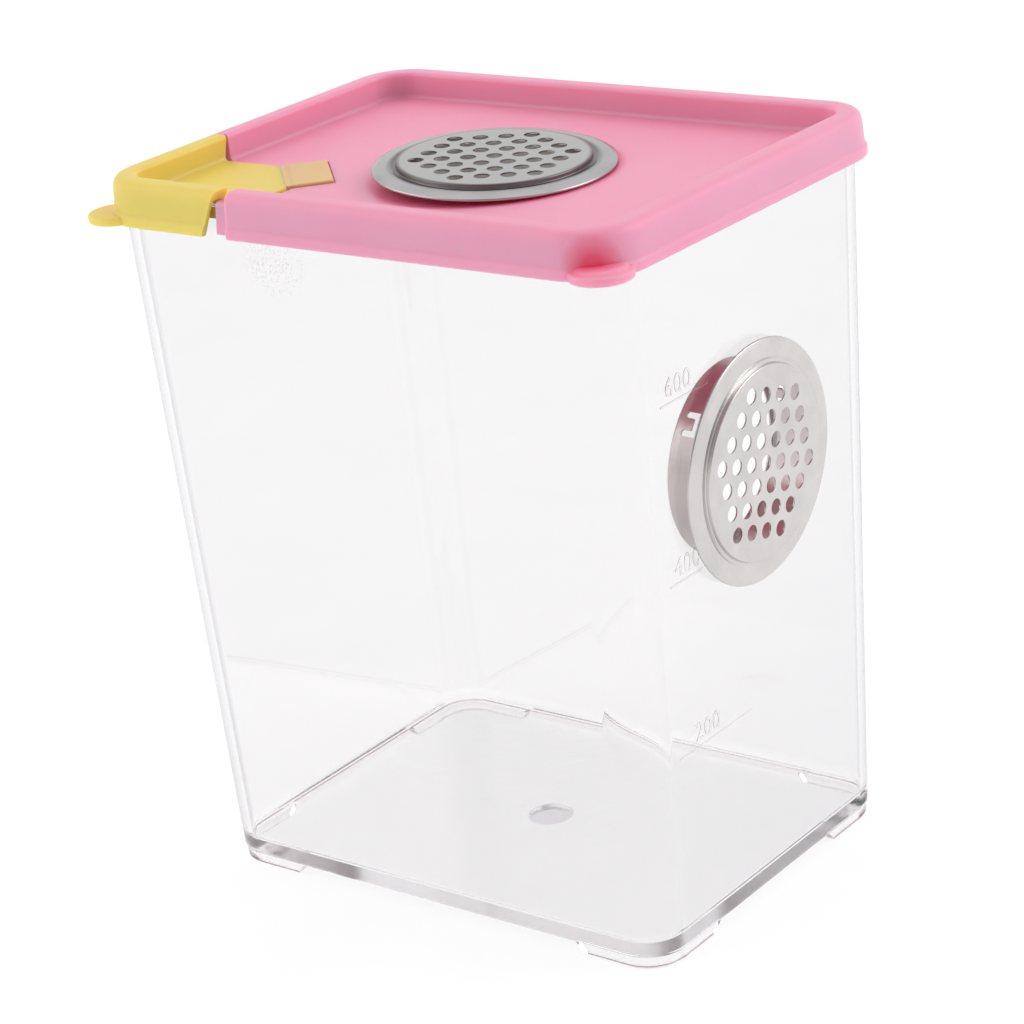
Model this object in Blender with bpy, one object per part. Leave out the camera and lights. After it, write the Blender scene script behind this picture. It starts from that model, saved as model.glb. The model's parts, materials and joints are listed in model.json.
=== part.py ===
"""Clear ventilated insect and queen cage: a tapered tub, a snap-on lid, a hinged corner spout and two
pressed-steel vents.

Frame: +Z up, the feet stand on z = 0, the origin is under the middle of the bounding box. The long plain
wall faces -Y, the wall with the vent faces +X, and the spout flap covers the -X, -Y corner.
"""

import math

import bmesh
import bpy
from mathutils import Matrix, Vector

MM = 0.001
GAP = 0.3 * MM  # left between pieces that touch

# Tub: the wall leans out by DRAFT, so its half sizes grow with height.
DRAFT = math.radians(1.8)
FOOT_H = 2.0 * MM
BASE_HALF_X = 47.8 * MM
BASE_HALF_Y = 35.0 * MM
BASE_R = 7.4 * MM
TUB_TOP = 125.4 * MM
TUB_TOP_R = 8.8 * MM
WALL = 1.6 * MM
FLOOR_T = 2.2 * MM
FOOT_LENGTH = 16.0 * MM
FOOT_WALL = 2.4 * MM
FOOT_SLOPE = 2.4 * MM

# Lid: a channel that sits over the tub's edge, round a sunk panel.
SKIRT_BOTTOM = 120.4 * MM
LID_TOP = 128.0 * MM
LID_HALF_X = 53.5 * MM
LID_HALF_Y = 40.7 * MM
LID_R = 10.2 * MM
SKIRT_LEAN = 0.8 * MM  # how far the rim's top edge stands in from the skirt's bottom edge
RIM_WIDTH = 4.1 * MM
SKIN = 1.2 * MM
PANEL_TOP = 123.2 * MM
PANEL_T = 1.4 * MM
PLUG_BOTTOM = 119.5 * MM
PLUG_R = 7.2 * MM
TAB_R = 5.1 * MM
TAB_INSET = 0.9 * MM  # from the skirt's corner arc to the centre of the tab's round end
TAB_T = 1.4 * MM
TAB_BOTTOM = 120.55 * MM

# Corner spout: the flap is bounded by two straight cuts and the crease, which runs at 45 degrees.
FLAP_EDGE_X = -25.8 * MM
FLAP_EDGE_Y = -10.0 * MM
CREASE_SUM = -46.3 * MM  # x + y along the crease
CREASE_CLEAR = 0.55 * MM  # from the hinge axis to the flap's edge and to the pad's
FLAP_END_SLOPE = 0.18  # the end at FLAP_EDGE_Y is undercut by this, so that it swings clear of the lid
FLAP_TOP = 123.7 * MM  # top of the flap's floor and of the pad, and the height of the hinge axis
FLAP_FLOOR_T = 1.0 * MM
LEDGE_T = 1.2 * MM
LEDGE_WIDTH = 2.0 * MM
RIM_CUT_X = -22.4 * MM  # where the lid's front rim ends, short of the flap
LUG_LENGTH = 2.4 * MM
LUG_T = 0.8 * MM
LUG_INSET = 0.4 * MM  # from the rim's outer skin to the lug's
PAD_LENGTH = 14.2 * MM
PAD_WIDTH = 7.0 * MM
WEB_HALF_WIDTH = 0.2 * MM
WEB_T = 0.35 * MM

# Vents: the same pressing twice. Heights are measured from the surface that the vent is fitted to.
VENT_R = 20.5 * MM
VENT_EDGE_Z = 0.75 * MM
VENT_BAND_Z = 1.0 * MM
VENT_FACE_Z = 1.9 * MM
VENT_FACE_R = 16.3 * MM
VENT_STEP_R = 17.3 * MM
SHEET = 0.5 * MM
BARREL_R = 16.4 * MM
BARREL_T = 0.4 * MM
BARREL_DEPTH = 6.4 * MM
BARREL_TOP = 1.05 * MM
VENT_HOLE_R = 16.9 * MM
PERFORATION_R = 1.35 * MM
PERFORATION_PITCH = 4.34 * MM
PERFORATION_RINGS = 3
SNAP_TABS = 4
SNAP_LENGTH = 4.2 * MM
SNAP_DEPTH = 2.2 * MM
SNAP_SLOT = 0.8 * MM
SNAP_MIDDLE = -2.8 * MM
LID_VENT_X = 1.6 * MM
LID_VENT_TURN = math.radians(38)
WALL_VENT_Y = -1.7 * MM
WALL_VENT_Z = 79.1 * MM
WALL_VENT_TURN = math.radians(75)

CORNER_STEPS = 8
ROUND_STEPS = 48
HOLE_STEPS = 10
FAR = 80.0 * MM  # past everything, for cutters

# A corner tab stands out past the skirt at the front only, so the middle of the box lies behind the
# tub's own middle by half of that.
CORNER = Vector((1, 1)).normalized()
TAB_CENTRE = Vector((LID_HALF_X - LID_R, LID_HALF_Y - LID_R)) + CORNER * (LID_R - TAB_INSET)
FRAME_SHIFT_Y = (TAB_CENTRE.y + TAB_R - LID_HALF_Y) / 2
CREASE_ANCHOR = Vector(((FLAP_EDGE_X + CREASE_SUM - FLAP_EDGE_Y) / 2, 0.0))
CREASE_ANCHOR.y = CREASE_SUM - CREASE_ANCHOR.x


def clear_scene():
    for old in list(bpy.data.objects):
        bpy.data.objects.remove(old, do_unlink=True)


def material(name, color, roughness, metallic=0.0, transmission=0.0):
    made = bpy.data.materials.new(name)
    made.use_nodes = True
    shader = made.node_tree.nodes["Principled BSDF"]
    shader.inputs["Base Color"].default_value = (*color, 1.0)
    shader.inputs["Roughness"].default_value = roughness
    shader.inputs["Metallic"].default_value = metallic
    shader.inputs["Transmission Weight"].default_value = transmission
    return made


def add_object(name, mesh, parent, slot=None):
    made = bpy.data.objects.new(name, mesh)
    bpy.context.scene.collection.objects.link(made)
    made.parent = parent
    if slot:
        mesh.materials.append(slot)
        mesh.shade_smooth()
        mesh.set_sharp_from_angle(angle=math.radians(35))
    return made


def hide(helper):
    helper.hide_render = True
    helper.display_type = "WIRE"
    return helper


def mesh_from(name, points, faces):
    mesh = bpy.data.meshes.new(name)
    mesh.from_pydata([tuple(point) for point in points], [], faces)
    work = bmesh.new()
    work.from_mesh(mesh)
    bmesh.ops.recalc_face_normals(work, faces=work.faces)
    work.to_mesh(mesh)
    work.free()
    return mesh


def lofted(name, rings):
    """A closed body through rings of equal length, with its first and last ring filled."""
    size = len(rings[0])
    points = [point for ring in rings for point in ring]
    faces = [tuple(range(size))]
    for level in range(len(rings) - 1):
        start = level * size
        for side in range(size):
            after = (side + 1) % size
            faces.append((start + side, start + after, start + size + after, start + size + side))
    last = (len(rings) - 1) * size
    faces.append(tuple(range(last, last + size)))
    return mesh_from(name, points, faces)


def prism(name, outline, low, high):
    return lofted(name, [[(x, y, z) for x, y in outline] for z in (low, high)])


def turned(name, profile, steps=ROUND_STEPS):
    """A solid of revolution about +Z from a closed profile of (radius, height) points off the axis."""
    points = []
    faces = []
    count = len(profile)
    for step in range(steps):
        angle = math.tau * step / steps
        points += [(r * math.cos(angle), r * math.sin(angle), z) for r, z in profile]
        after = (step + 1) % steps
        for side in range(count):
            beside = (side + 1) % count
            faces.append(
                (step * count + side, step * count + beside, after * count + beside, after * count + side)
            )
    return mesh_from(name, points, faces)


def disc_stack(name, profile, steps=ROUND_STEPS):
    """A solid of revolution that closes on the axis: profile runs from the top middle to the bottom."""
    rings = []
    for radius, height in profile:
        turn = [math.tau * step / steps for step in range(steps)]
        rings.append([(radius * math.cos(a), radius * math.sin(a), height) for a in turn])
    return lofted(name, rings)


def rounded_ring(half_x, half_y, radius, height, steps=CORNER_STEPS):
    points = []
    corners = ((1, 1, 0), (-1, 1, 90), (-1, -1, 180), (1, -1, 270))
    for sign_x, sign_y, start in corners:
        for step in range(steps + 1):
            angle = math.radians(start + 90 * step / steps)
            points.append(
                (
                    sign_x * (half_x - radius) + radius * math.cos(angle),
                    sign_y * (half_y - radius) + radius * math.sin(angle),
                    height,
                )
            )
    return points


def boolean(target, tool, operation):
    cut = target.modifiers.new(f"{operation.lower()} {tool.name}", "BOOLEAN")
    cut.operation = operation
    cut.solver = "EXACT"
    cut.object = tool


def tub_ring(height, inset=0.0):
    rise = height - FOOT_H
    lean = rise * math.tan(DRAFT)
    radius = BASE_R + (TUB_TOP_R - BASE_R) * rise / (TUB_TOP - FOOT_H)
    return rounded_ring(
        BASE_HALF_X + lean - inset, BASE_HALF_Y + lean - inset, radius - inset, height
    )


def foot_outline(sign_x, sign_y, reach):
    """The L-shaped rib under one corner; reach is how far it runs from the corner along each wall."""
    outer_r = BASE_R - 0.2 * MM
    inner_r = outer_r - FOOT_WALL
    centre = Vector((BASE_HALF_X - BASE_R, BASE_HALF_Y - BASE_R))
    start = Vector((BASE_HALF_X - reach, BASE_HALF_Y - reach))
    turn = [math.pi / 2 * step / CORNER_STEPS for step in range(CORNER_STEPS + 1)]
    outer = [centre + outer_r * Vector((math.cos(a), math.sin(a))) for a in turn]
    inner = [centre + inner_r * Vector((math.cos(a), math.sin(a))) for a in turn]
    outline = [Vector((centre.x + outer_r, start.y))] + outer + [Vector((start.x, centre.y + outer_r))]
    outline += [Vector((start.x, centre.y + inner_r))] + inner[::-1]
    outline += [Vector((centre.x + inner_r, start.y))]
    return [(sign_x * point.x, sign_y * point.y) for point in outline]


def build_container(parent, slot):
    rings = [
        tub_ring(FOOT_H, inset=0.8 * MM),
        tub_ring(FOOT_H + 0.25 * MM, inset=0.25 * MM),
        tub_ring(FOOT_H + 0.8 * MM),
        tub_ring(TUB_TOP - 0.4 * MM),
        tub_ring(TUB_TOP, inset=0.4 * MM),
        tub_ring(TUB_TOP, inset=WALL - 0.4 * MM),
        tub_ring(TUB_TOP - 0.4 * MM, inset=WALL),
        tub_ring(FOOT_H + FLOOR_T + 1.2 * MM, inset=WALL),
        tub_ring(FOOT_H + FLOOR_T + 0.3 * MM, inset=WALL + 0.4 * MM),
        tub_ring(FOOT_H + FLOOR_T, inset=WALL + 1.2 * MM),
    ]
    tub = add_object("container", lofted("container", rings), parent, slot)
    for number, (sign_x, sign_y) in enumerate(((1, 1), (-1, 1), (-1, -1), (1, -1)), 1):
        low = [(x, y, 0.0) for x, y in foot_outline(sign_x, sign_y, FOOT_LENGTH)]
        high = [
            (x, y, FOOT_H + 1.0 * MM) for x, y in foot_outline(sign_x, sign_y, FOOT_LENGTH + FOOT_SLOPE)
        ]
        foot = hide(add_object(f"guide_foot_{number}", lofted("guide_foot", [low, high]), parent))
        boolean(tub, foot, "UNION")
    return tub


def lid_ring(z, inset, radius_inset=None):
    """A ring of the lid; inset is measured from the skirt's bottom edge."""
    radius = LID_R - (inset if radius_inset is None else radius_inset)
    return rounded_ring(LID_HALF_X - inset, LID_HALF_Y - inset, radius, z)


def lid_shell(name, panel_top, panel_bottom, plug_bottom, parent, slot):
    """The lid's whole cross-section, from the panel's underside round the channel to its top."""
    recess = SKIRT_LEAN + RIM_WIDTH
    channel_in = recess - SKIN + 0.15 * MM
    plug_round = LID_R - PLUG_R
    rings = [
        lid_ring(panel_bottom, recess + SKIN, plug_round),
        lid_ring(plug_bottom, recess + SKIN - 0.1 * MM, plug_round),
        lid_ring(plug_bottom, channel_in + 0.2 * MM, plug_round),
        lid_ring(LID_TOP - 1.7 * MM, channel_in, plug_round),
        lid_ring(LID_TOP - 1.7 * MM, SKIRT_LEAN + 0.75 * MM),
        lid_ring(SKIRT_BOTTOM, 1.2 * MM),
        lid_ring(SKIRT_BOTTOM, 0.3 * MM),
        lid_ring(SKIRT_BOTTOM + 0.5 * MM, 0.0),
        lid_ring(SKIRT_BOTTOM + 1.4 * MM, 0.15 * MM),
        lid_ring(SKIRT_BOTTOM + 1.9 * MM, 0.45 * MM),
        lid_ring(LID_TOP - 1.3 * MM, SKIRT_LEAN),
        lid_ring(LID_TOP - 0.4 * MM, SKIRT_LEAN + 0.35 * MM),
        lid_ring(LID_TOP, SKIRT_LEAN + 1.1 * MM),
        lid_ring(LID_TOP, recess - 0.5 * MM),
        lid_ring(LID_TOP - 0.4 * MM, recess - 0.1 * MM),
        lid_ring(panel_top + 0.6 * MM, recess),
        lid_ring(panel_top, recess + 0.5 * MM),
    ]
    return add_object(name, lofted(name, rings), parent, slot)


def corner_tab_outline(sign_x, sign_y):
    """A half-round finger tab outside the skirt's corner arc, closed along an arc inside the skirt."""
    seat_r = LID_R - 0.6 * MM
    reach = LID_R - TAB_INSET
    root = math.acos((seat_r**2 + reach**2 - TAB_R**2) / (2 * seat_r * reach))
    sweep = math.acos((seat_r * math.cos(root) - reach) / TAB_R)
    arc_centre = Vector((LID_HALF_X - LID_R, LID_HALF_Y - LID_R))
    tip_steps = 16
    root_steps = 6
    outline = []
    for step in range(tip_steps + 1):
        angle = math.pi / 4 + sweep * (2 * step / tip_steps - 1)
        outline.append(TAB_CENTRE + TAB_R * Vector((math.cos(angle), math.sin(angle))))
    for step in range(1, root_steps):
        angle = math.pi / 4 + root * (1 - 2 * step / root_steps)
        outline.append(arc_centre + seat_r * Vector((math.cos(angle), math.sin(angle))))
    return [(sign_x * point.x, sign_y * point.y) for point in outline]


def add_corner_tab(target, name, sign_x, sign_y, parent):
    outline = corner_tab_outline(sign_x, sign_y)
    tab = hide(add_object(name, prism(name, outline, TAB_BOTTOM, TAB_BOTTOM + TAB_T), parent))
    boolean(target, tab, "UNION")


def spout_outline(clear, crease_clear, undercut=0.0):
    """The spout corner seen from above: two straight cuts joined by the 45 degree crease."""
    edge_x = FLAP_EDGE_X + clear
    edge_y = FLAP_EDGE_Y + clear - undercut
    crease = CREASE_SUM + crease_clear * math.sqrt(2)
    return [
        (-FAR, edge_y),
        (crease - edge_y, edge_y),
        (edge_x, crease - edge_x),
        (edge_x, -FAR),
        (-FAR, -FAR),
    ]


def lug_outline():
    """Cross-section (y, z) of the thin lug that runs on from the lid's front rim, inside its skin."""
    skirt = -LID_HALF_Y + LUG_INSET
    shoulder = -(LID_HALF_Y - SKIRT_LEAN) + LUG_INSET
    tub_side = -(BASE_HALF_Y + (TUB_TOP - FOOT_H) * math.tan(DRAFT) + GAP)
    recess = -(LID_HALF_Y - SKIRT_LEAN - RIM_WIDTH) - LUG_INSET
    low = SKIRT_BOTTOM + 0.3 * MM
    top = LID_TOP - 0.8 * MM
    under = top - LUG_T
    foot = PANEL_TOP - PANEL_T
    return [
        (skirt, low),
        (shoulder, under + 0.2 * MM),
        (shoulder + 0.6 * MM, top),
        (recess - 0.3 * MM, top),
        (recess, top - 0.3 * MM),
        (recess, foot),
        (recess - 0.6 * MM, foot),
        (recess - 0.6 * MM, under),
        (tub_side, under),
        (tub_side, low),
    ]


def build_lid(parent, slot):
    lid = lid_shell("lid", PANEL_TOP, PANEL_TOP - PANEL_T, PLUG_BOTTOM, parent, slot)
    low, high = PLUG_BOTTOM - 5 * MM, LID_TOP + 5 * MM
    opening = prism("cut_spout", spout_outline(GAP, GAP), low, high)
    boolean(lid, hide(add_object("cut_spout", opening, parent)), "DIFFERENCE")
    rim_y = -(LID_HALF_Y - SKIRT_LEAN - RIM_WIDTH) + 0.3 * MM
    gap_box = [(-FAR, rim_y), (RIM_CUT_X, rim_y), (RIM_CUT_X, -FAR), (-FAR, -FAR)]
    rim_cut = prism("cut_rim", gap_box, low, high)
    boolean(lid, hide(add_object("cut_rim", rim_cut, parent)), "DIFFERENCE")
    add_ledge(lid, parent)
    add_lug(lid, parent)
    add_corner_tab(lid, "guide_lift_tab", 1, -1, parent)
    return lid


def add_ledge(lid, parent):
    """A step under the panel's cut edge, on which the flap's floor rests."""
    top = FLAP_TOP - FLAP_FLOOR_T - GAP
    wall_x = -(LID_HALF_X - SKIRT_LEAN - RIM_WIDTH) + 1.0 * MM
    wall_y = -(LID_HALF_Y - SKIRT_LEAN - RIM_WIDTH) + 1.0 * MM
    back = 1.6 * MM
    inside = LEDGE_WIDTH
    crease_in = CREASE_SUM - inside * math.sqrt(2)
    crease_out = CREASE_SUM + back * math.sqrt(2)
    outline = [
        (wall_x, FLAP_EDGE_Y + back),
        (crease_out - FLAP_EDGE_Y - back, FLAP_EDGE_Y + back),
        (FLAP_EDGE_X + back, crease_out - FLAP_EDGE_X - back),
        (FLAP_EDGE_X + back, wall_y),
        (FLAP_EDGE_X - inside, wall_y),
        (FLAP_EDGE_X - inside, crease_in - FLAP_EDGE_X + inside),
        (crease_in - FLAP_EDGE_Y + inside, FLAP_EDGE_Y - inside),
        (wall_x, FLAP_EDGE_Y - inside),
    ]
    ledge = prism("guide_ledge", outline, top - LEDGE_T, top)
    boolean(lid, hide(add_object("guide_ledge", ledge, parent)), "UNION")


def add_lug(lid, parent):
    start, end = RIM_CUT_X - LUG_LENGTH, RIM_CUT_X + 1.0 * MM
    rings = [[(x, y, z) for y, z in lug_outline()] for x in (start, end)]
    boolean(lid, hide(add_object("guide_lug", lofted("guide_lug", rings), parent)), "UNION")


def build_flap(parent, slot):
    """The hinged corner: its own length of rim and skirt, and a floor that runs back to the crease."""
    floor_bottom = FLAP_TOP - FLAP_FLOOR_T
    flap = lid_shell("spout_flap", FLAP_TOP, floor_bottom, floor_bottom - 0.05 * MM, parent, slot)
    rings = []
    for z in (PLUG_BOTTOM - 5 * MM, LID_TOP + 5 * MM):
        outline = spout_outline(0.0, -CREASE_CLEAR, FLAP_END_SLOPE * (LID_TOP - z))
        rings.append([(x, y, z) for x, y in outline])
    keep = lofted("guide_flap", rings)
    boolean(flap, hide(add_object("guide_flap", keep, parent)), "INTERSECT")
    add_corner_tab(flap, "guide_flap_tab", -1, -1, parent)
    return flap


def crease_strip(start, end, length, low, high):
    """A bar along the crease, from start to end across it; the hinge axis is local Y."""
    half = length / 2
    return [(start, -half, low), (end, -half, low), (end, half, low), (start, half, low)], [
        (start, -half, high),
        (end, -half, high),
        (end, half, high),
        (start, half, high),
    ]


def build_hinge(pivot, yellow):
    """The pad that holds the flap to the lid, and the thin web between them, in the pivot's frame."""
    pad = crease_strip(CREASE_CLEAR, CREASE_CLEAR + PAD_WIDTH, PAD_LENGTH, -FLAP_FLOOR_T, 0.0)
    add_object("hinge_pad", lofted("hinge_pad", pad), pivot, yellow)
    web = crease_strip(-WEB_HALF_WIDTH, WEB_HALF_WIDTH, PAD_LENGTH - 0.8 * MM, -WEB_T, 0.0)
    add_object("living_hinge", lofted("living_hinge", web), pivot, yellow)


def cut_pad_pocket(lid, pivot):
    """The shallow pocket in the lid's panel that takes the pad."""
    start = -CREASE_CLEAR
    end = CREASE_CLEAR + PAD_WIDTH + GAP
    pocket = crease_strip(
        start, end, PAD_LENGTH + 2 * GAP, -FLAP_FLOOR_T - GAP, LID_TOP - FLAP_TOP
    )
    boolean(lid, hide(add_object("cut_pad", lofted("cut_pad", pocket), pivot)), "DIFFERENCE")


def vent_face_profile():
    """Top line from the middle out over the step and the band to the edge, then back underneath."""
    step_mid = (VENT_FACE_R + VENT_STEP_R) / 2
    top = [
        (0.5 * VENT_FACE_R, VENT_FACE_Z),
        (VENT_FACE_R, VENT_FACE_Z),
        (step_mid, (VENT_FACE_Z + VENT_BAND_Z) / 2),
        (VENT_STEP_R, VENT_BAND_Z),
        (VENT_R - 0.6 * MM, VENT_EDGE_Z + 0.1 * MM),
        (VENT_R, VENT_EDGE_Z - 0.15 * MM),
    ]
    bottom = [
        (VENT_R, GAP),
        (VENT_R - 0.5 * MM, GAP),
        (VENT_STEP_R + 0.1 * MM, VENT_BAND_Z - SHEET),
        (step_mid + 0.15 * MM, VENT_BAND_Z - 0.3 * SHEET),
        (VENT_FACE_R + 0.45 * MM, VENT_FACE_Z - SHEET),
        (0.5 * VENT_FACE_R, VENT_FACE_Z - SHEET),
    ]
    return top + bottom


def perforation_centres(turn):
    """A hexagon of holes, PERFORATION_RINGS deep round the middle one."""
    rings = range(-PERFORATION_RINGS, PERFORATION_RINGS + 1)
    centres = []
    for row in rings:
        for column in rings:
            if abs(row + column) > PERFORATION_RINGS:
                continue
            across = Vector((column + row / 2, row * math.sqrt(3) / 2)) * PERFORATION_PITCH
            across.rotate(Matrix.Rotation(turn, 2))
            centres.append(across)
    return centres


def perforation_cutter(name, turn, parent):
    work = bmesh.new()
    for centre in perforation_centres(turn):
        bmesh.ops.create_cone(
            work,
            cap_ends=True,
            segments=HOLE_STEPS,
            radius1=PERFORATION_R,
            radius2=PERFORATION_R,
            depth=4 * SHEET,
            matrix=Matrix.Translation((centre.x, centre.y, VENT_FACE_Z - SHEET / 2)),
        )
    mesh = bpy.data.meshes.new(name)
    work.to_mesh(mesh)
    work.free()
    return hide(add_object(name, mesh, parent))


def slot_outline():
    """A U-shaped slot seen from outside the barrel, as (across, height); its arms point inwards."""
    half = SNAP_LENGTH / 2
    high = SNAP_MIDDLE + SNAP_DEPTH / 2
    low = SNAP_MIDDLE - SNAP_DEPTH / 2
    return [
        (-half, low),
        (-half, high),
        (half, high),
        (half, low),
        (half - SNAP_SLOT, low),
        (half - SNAP_SLOT, high - SNAP_SLOT),
        (SNAP_SLOT - half, high - SNAP_SLOT),
        (SNAP_SLOT - half, low),
    ]


def snap_tab_cutter(name, tab_turn, parent):
    """Each slot leaves a tongue in the barrel that is cut free on three sides."""
    points = []
    faces = []
    for number in range(SNAP_TABS):
        turn = Matrix.Rotation(tab_turn + math.tau * number / SNAP_TABS, 4, "Z")
        inner, outer = (
            [turn @ Vector((radius, across, height)) for across, height in slot_outline()]
            for radius in (BARREL_R - 1.5 * MM, BARREL_R + 1.5 * MM)
        )
        start = len(points)
        size = len(inner)
        points += inner + outer
        faces.append([start + side for side in range(size)])
        faces.append([start + size + side for side in range(size)])
        for side in range(size):
            after = (side + 1) % size
            faces.append([start + side, start + after, start + size + after, start + size + side])
    return hide(add_object(name, mesh_from(name, points, faces), parent))


def build_vent(name, place, row_turn, tab_turn, parent, steel):
    """One vent on an empty whose +Z is the outward normal of the surface that it is fitted to."""
    seat = bpy.data.objects.new(f"{name}_seat", None)
    bpy.context.scene.collection.objects.link(seat)
    seat.parent = parent
    seat.matrix_local = place
    face = add_object(f"{name}_face", disc_stack(f"{name}_face", vent_face_profile()), seat, steel)
    boolean(face, perforation_cutter(f"cut_{name}_holes", row_turn, seat), "DIFFERENCE")
    ring = [
        (BARREL_R - BARREL_T, -BARREL_DEPTH),
        (BARREL_R, -BARREL_DEPTH),
        (BARREL_R, BARREL_TOP),
        (BARREL_R - BARREL_T, BARREL_TOP),
    ]
    barrel = add_object(f"{name}_barrel", turned(f"{name}_barrel", ring), seat, steel)
    boolean(barrel, snap_tab_cutter(f"cut_{name}_tabs", tab_turn, seat), "DIFFERENCE")
    return seat


def cut_vent_hole(target, name, seat):
    profile = [(VENT_HOLE_R, 5 * MM), (VENT_HOLE_R, -5 * MM)]
    hole = hide(add_object(name, disc_stack(name, profile), seat))
    boolean(target, hole, "DIFFERENCE")


def wall_vent_place():
    """The vent's seat on the +X wall: it leans with the wall."""
    wall_x = BASE_HALF_X + (WALL_VENT_Z - FOOT_H) * math.tan(DRAFT)
    lean = Matrix.Rotation(math.pi / 2 + DRAFT, 4, "Y")
    return Matrix.Translation((wall_x, WALL_VENT_Y, WALL_VENT_Z)) @ lean


def main():
    clear_scene()
    clear = material("clear_plastic", (0.93, 0.94, 0.96), 0.04, transmission=1.0)
    pink = material("pink_plastic", (0.86, 0.33, 0.47), 0.38)
    yellow = material("yellow_plastic", (0.86, 0.68, 0.16), 0.38)
    steel = material("stainless_steel", (0.62, 0.60, 0.58), 0.28, metallic=1.0)

    frame = bpy.data.objects.new("frame", None)
    bpy.context.scene.collection.objects.link(frame)
    frame.location.y = FRAME_SHIFT_Y

    container = build_container(frame, clear)
    lid = build_lid(frame, pink)
    build_flap(frame, yellow)

    pivot = bpy.data.objects.new("flap_pivot", None)
    bpy.context.scene.collection.objects.link(pivot)
    pivot.parent = frame
    across = Matrix.Rotation(math.pi / 4, 4, "Z")
    pivot.matrix_local = Matrix.Translation((*CREASE_ANCHOR, FLAP_TOP)) @ across
    build_hinge(pivot, yellow)
    cut_pad_pocket(lid, pivot)

    lid_place = Matrix.Translation((LID_VENT_X, 0.0, PANEL_TOP))
    lid_seat = build_vent("lid_vent", lid_place, LID_VENT_TURN, math.radians(20), frame, steel)
    cut_vent_hole(lid, "cut_lid_vent", lid_seat)
    wall_seat = build_vent(
        "wall_vent", wall_vent_place(), WALL_VENT_TURN, math.radians(-126), frame, steel
    )
    cut_vent_hole(container, "cut_wall_vent", wall_seat)


main()
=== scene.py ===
"""Looks for the ventilated cage: a clear tub, a soft pink lid with a yellow corner spout, and two steel
vents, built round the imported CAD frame.

Every piece is built about the tub's own middle and then moved there. Lengths are in metres.
"""

import json
import math

import bmesh
import bpy
from mathutils import Matrix, Vector


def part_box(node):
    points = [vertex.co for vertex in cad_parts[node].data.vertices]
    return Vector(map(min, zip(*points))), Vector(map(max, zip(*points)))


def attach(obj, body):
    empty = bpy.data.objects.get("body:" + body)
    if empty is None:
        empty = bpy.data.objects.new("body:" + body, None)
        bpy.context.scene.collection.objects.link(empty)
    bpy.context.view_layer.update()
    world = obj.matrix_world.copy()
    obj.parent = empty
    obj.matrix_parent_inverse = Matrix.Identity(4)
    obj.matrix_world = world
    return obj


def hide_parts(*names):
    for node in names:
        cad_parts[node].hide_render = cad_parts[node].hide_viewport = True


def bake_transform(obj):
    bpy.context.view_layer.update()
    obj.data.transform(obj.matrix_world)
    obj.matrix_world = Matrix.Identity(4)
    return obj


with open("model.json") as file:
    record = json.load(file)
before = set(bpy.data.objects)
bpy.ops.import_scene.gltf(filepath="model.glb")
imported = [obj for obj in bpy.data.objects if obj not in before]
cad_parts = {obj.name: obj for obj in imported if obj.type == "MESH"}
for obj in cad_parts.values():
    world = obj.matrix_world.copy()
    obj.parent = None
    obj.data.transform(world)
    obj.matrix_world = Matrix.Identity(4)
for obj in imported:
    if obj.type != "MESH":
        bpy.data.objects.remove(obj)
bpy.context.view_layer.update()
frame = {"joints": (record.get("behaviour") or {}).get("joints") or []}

MM = 0.001
TUB_LOW, TUB_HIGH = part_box("container")
LID_LOW, LID_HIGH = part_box("lid")
FLAP_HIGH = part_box("spout_flap")[1]
MIDDLE = Vector(((TUB_LOW.x + TUB_HIGH.x) / 2, (TUB_LOW.y + TUB_HIGH.y) / 2, 0.0))
FLAP_JOINT = next(joint for joint in frame["joints"] if joint["name"] == "flap_hinge")

# Tub
DRAFT = math.radians(1.8)
FOOT_H = 2.0 * MM
TUB_TOP = TUB_HIGH.z
TUB_RISE = (TUB_TOP - FOOT_H) * math.tan(DRAFT)
BASE_HALF_X = TUB_HIGH.x - MIDDLE.x - TUB_RISE
BASE_HALF_Y = TUB_HIGH.y - MIDDLE.y - TUB_RISE
BASE_R = 7.4 * MM
TUB_TOP_R = 8.8 * MM
WALL = 1.6 * MM
FLOOR_T = 2.2 * MM
FLOOR_TOP = FOOT_H + FLOOR_T
FOOT_LENGTH = 16.0 * MM
FOOT_WALL = 1.7 * MM
FOOT_SLOPE = 2.2 * MM
GATE_R = 4.3 * MM
GATE_DEPTH = 0.75 * MM

# Lid
LID_TOP = LID_HIGH.z
SKIRT_BOTTOM = LID_TOP - 7.6 * MM
LID_HALF_X = MIDDLE.x - LID_LOW.x
LID_HALF_Y = LID_HIGH.y - MIDDLE.y
LID_R = 10.2 * MM
SKIRT_LEAN = 0.8 * MM
RIM_WIDTH = 4.1 * MM
RECESS = SKIRT_LEAN + RIM_WIDTH  # from the skirt's bottom edge in to the sunk panel
SKIN = 1.2 * MM
PANEL_TOP = LID_TOP - 4.8 * MM
PANEL_T = 1.4 * MM
PLUG_BOTTOM = LID_LOW.z
PLUG_R = 7.2 * MM
TAB_R = 5.1 * MM
TAB_INSET = 0.9 * MM
TAB_T = 1.4 * MM
LUG_LENGTH = 2.4 * MM
RIM_CUT_X = FLAP_HIGH.x + 3.4 * MM

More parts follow.
